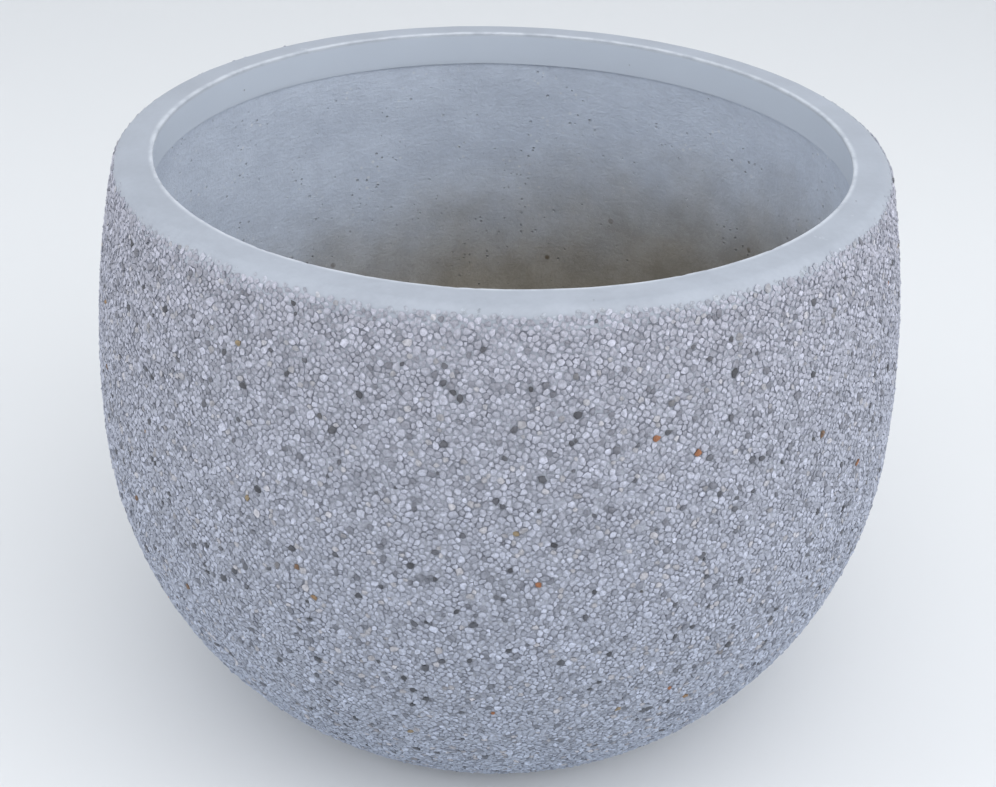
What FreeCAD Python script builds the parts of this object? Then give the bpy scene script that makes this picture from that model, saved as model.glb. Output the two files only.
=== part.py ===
import FreeCAD, Part
import math
import os

# A squat round flower pot of cast cement, faced outside with small rounded stones.
# The axis is Z, the ground is Z = 0, and all lengths are in millimetres.

# Outside shape
HEIGHT = 440.0
BELLY_D = 600.0
BELLY_Z = 235.0
RIM_D = 545.0
FOOT_D = 372.0
FOOT_EDGE_H = 2.0
FOOT_RING_W = 43.0

# Coats of the wall, from the outside in
FACING_T = 8.0
WALL_T = 18.0
BOND_GAP = 0.2

# Smooth rim with its inner lip, the width taken at the rim's seat
RIM_W = 29.2
RIM_CAP_T = 12.0
RIM_SHOULDER_R = 10.0
RIM_EDGE_R = 1.5
LIP_DEPTH = 28.5
LIP_DRAFT = 4.5
LIP_T = 7.0
JOINT_LINE = 1.5

# Floor
FLOOR_T = 32.0
FLOOR_FALL = 4.0
FOOT_RECESS = 8.0

# Reinforcing wires
WIRE_D = 4.0
WIRE_GAP = 0.3
UPRIGHTS = 8
RIM_HOOP_DROP = 15.0
FOOT_HOOP_RISE = 28.0

# Drain sleeve and its stopper
OUTLET_D = 25.0
SEAT_D = 30.0
SEAT_DEPTH = 16.0
SLEEVE_WALL = 3.0
SLEEVE_FLANGE_W = 6.0
SLEEVE_FLANGE_T = 3.0
SLEEVE_GAP = 0.1
PLUG_GAP = 0.3
PLUG_TIP_GAP = 1.0
PLUG_TAPER = 1.0
PLUG_HEAD_OVERLAP = 5.0
PLUG_HEAD_T = 6.0
PLUG_NECK_D = 14.0
PLUG_NECK_H = 7.0
PLUG_KNOB_D = 24.0
PLUG_KNOB_H = 9.0
PLUG_EDGE_R = 2.0

# Stones that stand out by colour in the facing
STONES = 640
STONE_R_MIN = 2.6
STONE_R_MAX = 3.6
STONE_PROUD = 1.2
STONE_SCATTER = 9.0
STONE_EDGE_MARGIN = 6.0
BROWN_SHARE = 0.04
DARK_SHARE = 0.26
GREY_SHARE = 0.40
GOLDEN_ANGLE = math.pi * (3.0 - math.sqrt(5.0))

BELLY_R = BELLY_D / 2
RIM_R = RIM_D / 2
FOOT_R = FOOT_D / 2
RING_R = FOOT_R - FOOT_RING_W
WIRE_R = WIRE_D / 2

# Heights of the rim's seat, of the lip's lower edge and of the ledge under it
SEAT_Z = HEIGHT - RIM_CAP_T
LIP_Z = HEIGHT - LIP_DEPTH
LEDGE_Z = LIP_Z - JOINT_LINE

# Depths of the coats, measured square to the outside surface
WALL_OUT = FACING_T + BOND_GAP
WALL_IN = WALL_OUT + WALL_T
FLOOR_SIDE = WALL_IN + BOND_GAP
WIRE_DEPTH = WALL_OUT + WIRE_GAP + WIRE_R
GROOVE_HALF = WIRE_R + WIRE_GAP

FLOOR_Z = FOOT_RECESS + FLOOR_T
FLOOR_EDGE_Z = FLOOR_Z + FLOOR_FALL
SEAT_FLOOR_Z = FLOOR_Z - SEAT_DEPTH

ORIGIN = FreeCAD.Vector(0, 0, 0)
UP = FreeCAD.Vector(0, 0, 1)
LEVEL = FreeCAD.Vector(0, 1, 0)


def bend_radius(run, rise):
    """Radius of the arc that leaves the belly upright and has moved in by run after rise."""
    return (run ** 2 + rise ** 2) / (2 * run)


# The outside is two arcs that meet upright at the belly, above a short upright foot band
LOWER_BEND = bend_radius(BELLY_R - FOOT_R, BELLY_Z - FOOT_EDGE_H)
UPPER_BEND = bend_radius(BELLY_R - RIM_R, HEIGHT - BELLY_Z)


def bend_at(z):
    """Radius of the outside arc that height z belongs to."""
    return LOWER_BEND if z < BELLY_Z else UPPER_BEND


def slope_at(depth, z):
    """Angle above level of the outward normal at height z, that far under the surface."""
    level = max(z, FOOT_EDGE_H)
    return math.asin((level - BELLY_Z) / (bend_at(level) - depth))


def radius_at(depth, z):
    """Distance from the axis at height z, that far under the surface."""
    bend = bend_at(max(z, FOOT_EDGE_H))
    return BELLY_R - bend + (bend - depth) * math.cos(slope_at(depth, z))


MOUTH_R = radius_at(0.0, SEAT_Z) - RIM_W
LIP_R = MOUTH_R + LIP_DRAFT
LIP_OUTER_R = LIP_R + LIP_T


def point(r, z):
    """A point of a half section, in the plane Y = 0."""
    return FreeCAD.Vector(r, 0, z)


def path(*points):
    """Straight edges through points given as (radius, height)."""
    ends = [point(*p) for p in points]
    return [Part.LineSegment(a, b).toShape() for a, b in zip(ends, ends[1:])]


def arc(start, middle, end):
    """An arc through three points given as (radius, height)."""
    return Part.Arc(point(*start), point(*middle), point(*end)).toShape()


def coat_edge(depth, z0, z1):
    """Edges of the outside curve, that far under the surface, from height z0 up to z1."""
    marks = [z0] + [z for z in (FOOT_EDGE_H, BELLY_Z) if z0 < z < z1] + [z1]
    edges = []
    for low, high in zip(marks, marks[1:]):
        middle = (low + high) / 2
        start, mid, end = [(radius_at(depth, z), z) for z in (low, middle, high)]
        edges += path(start, end) if high <= FOOT_EDGE_H else [arc(start, mid, end)]
    return edges


def turned(edges):
    """The solid that a closed half section makes when it is turned about the axis."""
    wire = Part.Wire(Part.__sortEdges__(edges))
    return Part.Face(wire).revolve(ORIGIN, UP, 360)


def around(shape, count, start_angle):
    """Copies of a shape, evenly spaced about the axis."""
    step = 360.0 / count
    return [shape.rotated(ORIGIN, UP, start_angle + step * i) for i in range(count)]


def wire_axes(z):
    """Centre of a wire at height z, and the directions out of the wall and up along it."""
    angle = slope_at(WIRE_DEPTH, z)
    centre = point(radius_at(WIRE_DEPTH, z), z)
    return centre, point(math.cos(angle), math.sin(angle)), point(-math.sin(angle), math.cos(angle))


def wire_section(z, along):
    """Round face of a wire that runs in the direction along, at height z."""
    return Part.Face(Part.Wire(Part.makeCircle(WIRE_R, wire_axes(z)[0], along)))


def groove_edges(z, across, low_reach, high_reach):
    """An open groove at height z: round behind the wire, with two sides of the reaches given."""
    centre, out, _ = wire_axes(z)
    side = across * GROOVE_HALF
    low, high = centre - side, centre + side
    return [
        Part.LineSegment(low + out * low_reach, low).toShape(),
        Part.Arc(low, centre - out * GROOVE_HALF, high).toShape(),
        Part.LineSegment(high, high + out * high_reach).toShape(),
    ]


def hoop(z):
    """A wire hoop at height z."""
    return wire_section(z, LEVEL).revolve(ORIGIN, UP, 360)


def hoop_groove(z):
    """The groove of a hoop in the wall's half section, and the heights where it meets the wall's face."""
    _, out, rising = wire_axes(z)
    reaches = []
    heights = []
    for half in (-GROOVE_HALF, GROOVE_HALF):
        bend = bend_at(z + half)
        face = bend - WALL_OUT
        span = math.copysign(math.sqrt(face ** 2 - half ** 2), face)
        reaches.append(span - (bend - WIRE_DEPTH))
        heights.append(BELLY_Z + span * out.z + half * rising.z)
    return groove_edges(z, rising, *reaches), heights


def uprights(z0, z1):
    """Wires between the hoops at heights z0 and z1 on one arc, and the grooves that they lie in."""
    bend = bend_at((z0 + z1) / 2)
    pivot = point(BELLY_R - bend, BELLY_Z)
    reach = bend - WIRE_DEPTH
    first = math.asin((z0 - BELLY_Z) / reach)
    last = math.asin((z1 - BELLY_Z) / reach)

    def swept(section, short):
        """Copies of a section carried along the arc, short of the hoops' centres at both ends."""
        lag = short / reach
        z = BELLY_Z + reach * math.sin(first + lag)
        solid = section(z).revolve(pivot, -LEVEL, math.degrees(last - first - 2 * lag))
        return around(solid, UPRIGHTS, 180.0 / UPRIGHTS)

    def rod(z):
        return wire_section(z, wire_axes(z)[2])

    def groove(z):
        edges = groove_edges(z, LEVEL, WIRE_DEPTH, WIRE_DEPTH)
        ends = [edges[2].Vertexes[1].Point, edges[0].Vertexes[0].Point]
        return Part.Face(Part.Wire(edges + [Part.LineSegment(*ends).toShape()]))

    # A wire stops just short of the hoops, and its groove runs on into theirs
    return swept(rod, WIRE_R + WIRE_GAP / 2), swept(groove, WIRE_R / 2)


def rim_ring():
    """The smooth cap and lip: flat top, round shoulder outside, drafted lip inside."""
    shoulder_z = HEIGHT - RIM_SHOULDER_R
    shoulder_r = radius_at(RIM_SHOULDER_R, shoulder_z)
    tilt = slope_at(RIM_SHOULDER_R, shoulder_z)
    shoulder = []
    for angle in (tilt, (tilt + math.pi / 2) / 2, math.pi / 2):
        r = shoulder_r + RIM_SHOULDER_R * math.cos(angle)
        z = shoulder_z + RIM_SHOULDER_R * math.sin(angle)
        shoulder.append((r, z))
    # The round on the inner edge touches the top and the drafted face of the lip
    draft = math.atan2(LIP_DRAFT, LIP_DEPTH)
    edge_run = RIM_EDGE_R * math.tan((math.pi / 2 + draft) / 2)
    edge_z = HEIGHT - RIM_EDGE_R
    edge_r = MOUTH_R + edge_run
    edge = []
    for angle in (math.pi / 2, (3 * math.pi / 2 + draft) / 2, math.pi + draft):
        edge.append((edge_r + RIM_EDGE_R * math.cos(angle), edge_z + RIM_EDGE_R * math.sin(angle)))
    edges = coat_edge(0.0, SEAT_Z, shoulder[0][1])
    edges.append(arc(*shoulder))
    edges += path(shoulder[2], edge[0])
    edges.append(arc(*edge))
    edges += path(
        edge[2],
        (LIP_R, LIP_Z),
        (LIP_OUTER_R, LIP_Z),
        (LIP_OUTER_R, SEAT_Z),
        (radius_at(0.0, SEAT_Z), SEAT_Z),
    )
    return turned(edges)


def pebble_facing():
    """The cement coat that holds the stones, from the ground up to the rim."""
    edges = coat_edge(0.0, 0.0, SEAT_Z) + coat_edge(FACING_T, 0.0, SEAT_Z)
    for z in (0.0, SEAT_Z):
        edges += path((radius_at(FACING_T, z), z), (radius_at(0.0, z), z))
    return turned(edges)


def wall_shell(hoop_heights, slots):
    """The cast wall: stepped for the rim's lip, splayed at the floor and grooved for the wires."""
    rebate_r = LIP_OUTER_R + BOND_GAP
    edges = coat_edge(WALL_IN, FLOOR_EDGE_Z, LEDGE_Z)
    start = 0.0
    for z in sorted(hoop_heights):
        groove, (low, high) = hoop_groove(z)
        edges += coat_edge(WALL_OUT, start, low) + groove
        start = high
    edges += coat_edge(WALL_OUT, start, SEAT_Z)
    edges += path(
        (radius_at(WALL_OUT, SEAT_Z), SEAT_Z),
        (rebate_r, SEAT_Z),
        (rebate_r, LEDGE_Z),
        (radius_at(WALL_IN, LEDGE_Z), LEDGE_Z),
    )
    edges += path(
        (radius_at(WALL_IN, FLOOR_EDGE_Z), FLOOR_EDGE_Z),
        (RING_R, FOOT_RECESS),
        (RING_R, 0.0),
        (radius_at(WALL_OUT, 0.0), 0.0),
    )
    return turned(edges).cut(slots)


SLEEVE_R = SEAT_D / 2 + SLEEVE_WALL
FLANGE_R = SLEEVE_R + SLEEVE_FLANGE_W
FLANGE_Z = FLOOR_Z - SLEEVE_FLANGE_T


def base_slab():
    """The floor, falling to a stepped hole for the drain sleeve."""
    hole_r = SLEEVE_R + SLEEVE_GAP
    step_r = FLANGE_R + SLEEVE_GAP
    corners = [
        (radius_at(FLOOR_SIDE, FLOOR_EDGE_Z), FLOOR_EDGE_Z),
        (step_r, FLOOR_Z),
        (step_r, FLANGE_Z),
        (hole_r, FLANGE_Z),
        (hole_r, FOOT_RECESS),
        (RING_R - BOND_GAP, FOOT_RECESS),
    ]
    return turned(path(*corners, corners[0]))


def drain_sleeve():
    """A flanged sleeve: a wide seat for the stopper above a plain outlet."""
    corners = [
        (FLANGE_R, FLOOR_Z),
        (SEAT_D / 2, FLOOR_Z),
        (SEAT_D / 2, SEAT_FLOOR_Z),
        (OUTLET_D / 2, SEAT_FLOOR_Z),
        (OUTLET_D / 2, FOOT_RECESS),
        (SLEEVE_R, FOOT_RECESS),
        (SLEEVE_R, FLANGE_Z),
        (FLANGE_R, FLANGE_Z),
    ]
    return turned(path(*corners, corners[0]))


def drain_plug():
    """A tapered stopper whose head lies on the sleeve's flange, with a knob to pull."""
    top_r = SEAT_D / 2 - PLUG_GAP
    tip_r = top_r - PLUG_TAPER
    head_r = SEAT_D / 2 + PLUG_HEAD_OVERLAP
    tip_z = SEAT_FLOOR_Z + PLUG_TIP_GAP
    head_z = FLOOR_Z + PLUG_HEAD_T
    knob_z = head_z + PLUG_NECK_H
    crown_z = knob_z + PLUG_KNOB_H
    stem_r = PLUG_NECK_D / 2
    knob_r = PLUG_KNOB_D / 2
    bevel = PLUG_EDGE_R * (1 - math.sqrt(0.5))
    edges = path(
        (0.0, crown_z),
        (0.0, tip_z),
        (tip_r, tip_z),
        (top_r, FLOOR_Z),
        (head_r, FLOOR_Z),
        (head_r, head_z - PLUG_EDGE_R),
    )
    edges.append(arc(
        (head_r, head_z - PLUG_EDGE_R),
        (head_r - bevel, head_z - bevel),
        (head_r - PLUG_EDGE_R, head_z),
    ))
    edges += path(
        (head_r - PLUG_EDGE_R, head_z),
        (stem_r, head_z),
        (stem_r, knob_z),
        (knob_r - PLUG_EDGE_R, knob_z),
    )
    edges.append(arc(
        (knob_r - PLUG_EDGE_R, knob_z),
        (knob_r - bevel, knob_z + bevel),
        (knob_r, knob_z + PLUG_EDGE_R),
    ))
    edges += path((knob_r, knob_z + PLUG_EDGE_R), (knob_r, crown_z - PLUG_EDGE_R))
    edges.append(arc(
        (knob_r, crown_z - PLUG_EDGE_R),
        (knob_r - bevel, crown_z - bevel),
        (knob_r - PLUG_EDGE_R, crown_z),
    ))
    edges += path((knob_r - PLUG_EDGE_R, crown_z), (0.0, crown_z))
    return turned(edges)


def scatter(i, salt):
    """An even but unordered number from 0 to 1 for stone i."""
    mixed = math.sin(12.9898 * (i + 1) + 78.233 * salt) * 43758.5453
    return mixed - math.floor(mixed)


def stones():
    """Single stones bedded in the facing along a loose spiral, sorted by colour."""
    low = FOOT_EDGE_H + STONE_EDGE_MARGIN + STONE_SCATTER
    high = SEAT_Z - STONE_EDGE_MARGIN - STONE_SCATTER
    groups = {"brown_stones": [], "dark_stones": [], "grey_stones": [], "pale_stones": []}
    shares = (BROWN_SHARE, DARK_SHARE, GREY_SHARE, 1.0)
    for i in range(STONES):
        z = low + (high - low) * (i + 0.5) / STONES + (2 * scatter(i, 1) - 1) * STONE_SCATTER
        angle = i * GOLDEN_ANGLE + (2 * scatter(i, 2) - 1) * STONE_SCATTER / BELLY_R
        size = STONE_R_MIN + (STONE_R_MAX - STONE_R_MIN) * scatter(i, 3)
        r = radius_at(size - STONE_PROUD, z)
        centre = FreeCAD.Vector(r * math.cos(angle), r * math.sin(angle), z)
        draw = scatter(i, 4)
        for name, share in zip(groups, shares):
            if draw < share:
                groups[name].append(Part.makeSphere(size, centre))
                break
            draw -= share
    return groups


def build():
    """Every piece of the pot, by name."""
    rim_hoop_z = LEDGE_Z - RIM_HOOP_DROP
    foot_hoop_z = FOOT_EDGE_H + FOOT_HOOP_RISE
    hoop_heights = {"rim_hoop": rim_hoop_z, "belly_hoop": BELLY_Z, "foot_hoop": foot_hoop_z}
    parts = {name: hoop(z) for name, z in hoop_heights.items()}
    slots = []
    for name, z0, z1 in (
        ("upper_uprights", BELLY_Z, rim_hoop_z),
        ("lower_uprights", foot_hoop_z, BELLY_Z),
    ):
        rods, grooves = uprights(z0, z1)
        parts[name] = Part.makeCompound(rods)
        slots += grooves
    parts["rim_ring"] = rim_ring()
    parts["pebble_facing"] = pebble_facing()
    parts["wall_shell"] = wall_shell(hoop_heights.values(), slots)
    parts["base_slab"] = base_slab()
    parts["drain_sleeve"] = drain_sleeve()
    parts["drain_plug"] = drain_plug()
    for name, solids in stones().items():
        parts[name] = Part.makeCompound(solids)
    return parts


os.makedirs("parts", exist_ok=True)
for name, shape in build().items():
    shape.exportStep("parts/" + name + ".step")
    box = shape.BoundBox
    print(name, len(shape.Solids), "solids", round(shape.Volume / 1000.0, 1), "cm3",
          "valid" if shape.isValid() else "NOT VALID", round(box.ZMin, 1), round(box.ZMax, 1))
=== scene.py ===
# %% [markdown]
# The pot comes in as separate solids that share one frame: metres, Z up, the ground at Z = 0. They are
# loaded once and never moved or edited. What follows only dresses them: thousands of small stones on the
# outside, a rim and an inner wall with the unevenness of hand-finished cement, and a finish for every
# piece.

# %% Load the frame
import math
import bpy
import numpy as np
from mathutils import Matrix, Vector, kdtree


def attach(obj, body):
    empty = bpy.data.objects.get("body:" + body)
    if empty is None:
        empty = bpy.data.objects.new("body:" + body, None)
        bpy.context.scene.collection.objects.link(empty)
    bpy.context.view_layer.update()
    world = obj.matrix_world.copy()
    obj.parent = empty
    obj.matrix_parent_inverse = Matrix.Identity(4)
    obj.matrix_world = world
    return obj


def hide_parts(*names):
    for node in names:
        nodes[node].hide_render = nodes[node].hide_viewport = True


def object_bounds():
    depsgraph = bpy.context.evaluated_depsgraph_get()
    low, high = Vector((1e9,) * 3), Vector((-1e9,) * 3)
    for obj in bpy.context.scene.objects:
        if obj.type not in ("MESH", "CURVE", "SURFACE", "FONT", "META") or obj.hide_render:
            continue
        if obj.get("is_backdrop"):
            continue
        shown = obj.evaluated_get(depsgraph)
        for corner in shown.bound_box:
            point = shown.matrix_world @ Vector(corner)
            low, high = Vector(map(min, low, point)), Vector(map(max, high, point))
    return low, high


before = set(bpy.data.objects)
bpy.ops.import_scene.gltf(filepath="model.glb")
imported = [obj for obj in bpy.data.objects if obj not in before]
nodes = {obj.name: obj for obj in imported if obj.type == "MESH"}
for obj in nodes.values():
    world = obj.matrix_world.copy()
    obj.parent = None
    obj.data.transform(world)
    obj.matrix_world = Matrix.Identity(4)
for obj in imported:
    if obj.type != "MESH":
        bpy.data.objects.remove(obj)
cad_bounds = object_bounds()
scene = bpy.context.scene
scene.view_settings.view_transform = "Standard"
print("nodes:", ", ".join(sorted(nodes)))

# %% [markdown]
# The camera stands a metre in front of the pot, a little above its rim, and looks down into the mouth. A
# camera can be aimed with a constraint, but here its three axes are written out, since it also leans by a
# degree and a half. Blender's camera looks along its own -Z, so the third axis points backwards.

# %% Camera
PITCH = math.radians(30.56)
ROLL = math.radians(-1.445)
forward = Vector((0, math.cos(PITCH), -math.sin(PITCH)))
level = Vector((1, 0, 0))
down = Vector((0, -math.sin(PITCH), -math.cos(PITCH)))
axis_x = level * math.cos(ROLL) + down * math.sin(ROLL)
axis_y = level * math.sin(ROLL) - down * math.cos(ROLL)
camera_data = bpy.data.cameras.new("camera")
camera_data.sensor_width = 36.0
camera_data.lens = 53.15
camera = bpy.data.objects.new("camera", camera_data)
camera.matrix_world = Matrix((axis_x, axis_y, -forward)).transposed().to_4x4()
camera.location = (0.0005, -1.0048, 0.8174)
scene.collection.objects.link(camera)
scene.camera = camera
print("camera at", tuple(round(c, 3) for c in camera.location))

# %% [markdown]
# The stage is a pale floor that curves up into a backdrop, so there is no hard horizon. A plane with a bent
# edge would do; here the curve is written as a list of points and swept from left to right, which keeps it
# smooth.

# %% Stage
SWEEP_R = 0.6
SWEEP_BACK = 2.2
SWEEP_TOP = 4.0
SWEEP_STEPS = 16
FLOOR_REACH = 14.0
sweep = [(-FLOOR_REACH, 0.0), (SWEEP_BACK, 0.0)]
for i in range(1, SWEEP_STEPS + 1):
    turn = math.radians(90 * i / SWEEP_STEPS)
    sweep.append((SWEEP_BACK + SWEEP_R * math.sin(turn), SWEEP_R * (1 - math.cos(turn))))
sweep.append((SWEEP_BACK + SWEEP_R, SWEEP_TOP))
verts = [(x, y, z) for y, z in sweep for x in (-FLOOR_REACH, FLOOR_REACH)]
faces = [(2 * i, 2 * i + 1, 2 * i + 3, 2 * i + 2) for i in range(len(sweep) - 1)]
floor_mesh = bpy.data.meshes.new("floor")
floor_mesh.from_pydata(verts, [], faces)
floor_mesh.polygons.foreach_set("use_smooth", [True] * len(faces))
floor = bpy.data.objects.new("floor", floor_mesh)
scene.collection.objects.link(floor)
floor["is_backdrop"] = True
floor_paint = bpy.data.materials.new("floor paint")
floor_paint.use_nodes = True
FLOOR_TONE = (0.71, 0.725, 0.745, 1)
paint_shader = floor_paint.node_tree.nodes["Principled BSDF"]
paint_shader.inputs["Base Color"].default_value = FLOOR_TONE
paint_shader.inputs["Roughness"].default_value = 0.9
floor_mesh.materials.append(floor_paint)
print("floor from y", sweep[0][0], "to", round(sweep[-1][0], 2))

# %% [markdown]
# Light comes from an even sky, from one wide panel above the front and from two weak ones at the sides.
# That is how a pot looks in open shade, with a soft contact shadow; a sun lamp would cast a hard one. The
# level is kept where a colour renders about as it is written. The camera, and reflections, see the sky in
# the floor's own tone, so that from low angles the floor has no edge.

# %% Light
world = bpy.data.worlds.new("sky")
world.use_nodes = True
sky_tree = world.node_tree
sky = sky_tree.nodes["Background"]
sky.inputs["Color"].default_value = (0.96, 0.98, 1.0, 1)
sky.inputs["Strength"].default_value = 1.02
seen = sky_tree.nodes.new("ShaderNodeBackground")
seen.inputs["Color"].default_value = FLOOR_TONE
rays = sky_tree.nodes.new("ShaderNodeLightPath")
direct = rays.outputs["Is Camera Ray"]
for kind_of_ray in ("Is Glossy Ray", "Is Transmission Ray"):
    either = sky_tree.nodes.new("ShaderNodeMath")
    either.operation = "MAXIMUM"
    sky_tree.links.new(direct, either.inputs[0])
    sky_tree.links.new(rays.outputs[kind_of_ray], either.inputs[1])
    direct = either.outputs[0]
choice = sky_tree.nodes.new("ShaderNodeMixShader")
sky_tree.links.new(direct, choice.inputs[0])
sky_tree.links.new(sky.outputs[0], choice.inputs[1])
sky_tree.links.new(seen.outputs[0], choice.inputs[2])
sky_tree.links.new(choice.outputs[0], sky_tree.nodes["World Output"].inputs["Surface"])
scene.world = world
AIM = Vector((0, 0, 0.3))
LAMPS = (
    ("panel", 2.6, 25.0, (0.7, -1.2, 2.2)),
    ("left fill", 1.2, 12.0, (-2.2, -0.6, 1.1)),
    ("right fill", 1.2, 12.0, (2.2, -0.6, 1.1)),
)
for lamp_name, lamp_size, energy, lamp_place in LAMPS:
    lamp_data = bpy.data.lights.new(lamp_name, "AREA")
    lamp_data.shape = "SQUARE"
    lamp_data.size = lamp_size
    lamp_data.energy = energy
    lamp = bpy.data.objects.new(lamp_name, lamp_data)
    lamp.location = lamp_place
    lamp.rotation_euler = (lamp.location - AIM).to_track_quat("Z", "Y").to_euler()
    scene.collection.objects.link(lamp)
print("lamps:", ", ".join(row[0] for row in LAMPS))

# %% [markdown]
# Every dressed surface follows the turned shape of the solids, so the outline is measured once from them.
# Two arcs meet upright at the belly, a short band stands on the ground, and a round shoulder leads onto the
# flat rim. Sampling that outline finely gives, at any length along it, a radius, a height and the direction
# out.

# %% Measure the outline
def rings(name):
    """Radius and height of every vertex of a node."""
    co = np.empty(len(nodes[name].data.vertices) * 3)
    nodes[name].data.vertices.foreach_get("co", co)
    co = co.reshape(-1, 3)
    return np.hypot(co[:, 0], co[:, 1]), co[:, 2]


TINY = 2e-5
SHOULDER_R = 0.010
SHOULDER_TURN = math.radians(52)
facing_r, facing_z = rings("pebble_facing")
belly_r = facing_r.max()
belly_z = np.median(facing_z[facing_r > belly_r - TINY])
foot_r = facing_r[facing_z < TINY].max()
foot_z = facing_z[np.abs(facing_r - foot_r) < TINY].max()
seat_z = facing_z.max()
seat_r = facing_r[facing_z > seat_z - TINY].max()
top_z = rings("rim_ring")[1].max()


def bend(run, rise):
    """Radius of an arc that leaves upright and has moved in by run after rise."""
    return (run ** 2 + rise ** 2) / (2 * run)


low_bend = bend(belly_r - foot_r, belly_z - foot_z)
high_bend = bend(belly_r - seat_r, seat_z - belly_z)
low_turn = math.asin((belly_z - foot_z) / low_bend)
shoulder_z = top_z - SHOULDER_R
shoulder_tilt = math.asin((shoulder_z - belly_z) / (high_bend - SHOULDER_R))
shoulder_r = belly_r - high_bend + (high_bend - SHOULDER_R) * math.cos(shoulder_tilt)


def arc_points(r, z, radius, start, end):
    """Radius, height and outward direction along an arc, about four samples to a millimetre."""
    a = np.linspace(start, end, max(8, int(radius * abs(end - start) / 0.00025)))
    return np.stack([r + radius * np.cos(a), z + radius * np.sin(a), np.cos(a), np.sin(a)], 1)


band = np.linspace(0.0, foot_z, 24, endpoint=False)
outline = np.concatenate([
    np.stack([np.full_like(band, foot_r), band, np.ones_like(band), np.zeros_like(band)], 1),
    arc_points(belly_r - low_bend, belly_z, low_bend, -low_turn, 0)[:-1],
    arc_points(belly_r - high_bend, belly_z, high_bend, 0, shoulder_tilt)[:-1],
    arc_points(shoulder_r, shoulder_z, SHOULDER_R, shoulder_tilt, shoulder_tilt + SHOULDER_TURN),
])
steps = np.hypot(np.diff(outline[:, 0]), np.diff(outline[:, 1]))
run = np.concatenate([[0], np.cumsum(steps)])
area = np.concatenate([[0], np.cumsum(math.pi * (outline[1:, 0] + outline[:-1, 0]) * steps)])


def at(length):
    """Radius, height and outward direction at a length along the outline."""
    return [np.interp(length, run, outline[:, k]) for k in range(4)]


print("belly %.4f at %.4f, foot %.4f, seat %.4f at %.4f" % (belly_r, belly_z, foot_r, seat_r, seat_z))
print("outline %.3f m long, outside %.3f m2" % (run[-1], area[-1]))

# %% [markdown]
# The solids already hold several hundred stones that stand out by colour. Each is a small ball in a node
# with many others, so the balls are told apart by walking along the mesh edges: every vertex takes the
# lowest number that it can reach, and all vertices with one number belong to one ball.

# %% Find the stones of the solids
def balls(name):
    """Centre and radius of each separate ball of a node."""
    mesh = nodes[name].data
    co = np.empty(len(mesh.vertices) * 3)
    mesh.vertices.foreach_get("co", co)
    co = co.reshape(-1, 3)
    ends = np.empty(len(mesh.edges) * 2, dtype=np.int64)
    mesh.edges.foreach_get("vertices", ends)
    _, same = np.unique(np.round(co, 6), axis=0, return_inverse=True)
    same = same.reshape(-1)
    a, b = same[ends[0::2]], same[ends[1::2]]
    label = np.arange(same.max() + 1)
    while True:
        before = label.copy()
        low = np.minimum(label[a], label[b])
        np.minimum.at(label, a, low)
        np.minimum.at(label, b, low)
        label = label[label]
        if (label == before).all():
            break
    _, group = np.unique(label[same], return_inverse=True)
    count = group.max() + 1
    lo = np.full((count, 3), 9.0)
    hi = np.full((count, 3), -9.0)
    np.minimum.at(lo, group, co)
    np.maximum.at(hi, group, co)
    return (lo + hi) / 2, (hi - lo)[:, 2] / 2


KINDS = ("pale", "grey", "dark", "brown")
found = [balls(kind + "_stones") for kind in KINDS]
fixed_centre = np.concatenate([c for c, _ in found])
fixed_size = np.concatenate([r for _, r in found])
fixed_kind = np.concatenate([np.full(len(r), k) for k, (_, r) in enumerate(found)])
print("stones in the solids:", {kind: len(r) for kind, (_, r) in zip(KINDS, found)})

# %% [markdown]
# Between them lies a closed field of small stones. A regular grid would show, and a purely random scatter
# would leave holes. So the stones start on a spiral that spreads them evenly over the outside, get
# different sizes, and are jolted a little.

# %% Spread the stones
rng = np.random.default_rng(7)
STONES = 58000
FILL = 0.93
loose = STONES - len(fixed_size)
GOLDEN = math.pi * (3 - math.sqrt(5))
share = (np.arange(loose) + 0.5) / loose
length = np.interp(share * area[-1], area, run)
angle = (np.arange(loose) * GOLDEN) % (2 * math.pi)
size = np.clip(np.exp(rng.normal(0, 0.22, loose)), 0.6, 1.7)
size = np.concatenate([fixed_size * 0.85, size * math.sqrt(FILL * area[-1] / math.pi / (size ** 2).sum())])
jitter = 0.3 * size[len(fixed_size):]
length += rng.normal(0, 1, loose) * jitter
angle += rng.normal(0, 1, loose) * jitter / at(length)[0]
fixed_length = np.interp(fixed_centre[:, 2], outline[:, 1], run)
fixed_angle = np.arctan2(fixed_centre[:, 1], fixed_centre[:, 0])
length = np.concatenate([fixed_length, length])
angle = np.concatenate([fixed_angle, angle])
print("stones:", len(size), " typical width %.1f mm" % (2000 * np.median(size)))

# %% [markdown]
# Then they push each other apart for a few rounds, as stones do when they are pressed into wet cement by
# hand. A rigid body simulation of so many would take hours; this needs only each stone's nearest
# neighbours, which a KD tree finds quickly. The stones of the solids stay where they are.

# %% Settle the stones
NEAR = 16
ROUNDS = 3
PUSHES = 7
EASE = 0.3


def neighbours():
    """For every stone, the indices of its nearest others."""
    r, z, _, _ = at(length)
    points = np.stack([r * np.cos(angle), r * np.sin(angle), z], 1)
    tree = kdtree.KDTree(len(points))
    for i, p in enumerate(points):
        tree.insert(p, i)
    tree.balance()
    return np.array([[hit[1] for hit in tree.find_n(p, NEAR + 1)][1:] for p in points])


def offsets(near):
    """Steps round the pot and up its side, from every stone to its neighbours."""
    dy = length[near] - length[:, None]
    turn = (angle[near] - angle[:, None] + math.pi) % (2 * math.pi) - math.pi
    return turn * (at(length[near])[0] + at(length)[0][:, None]) / 2, dy


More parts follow.
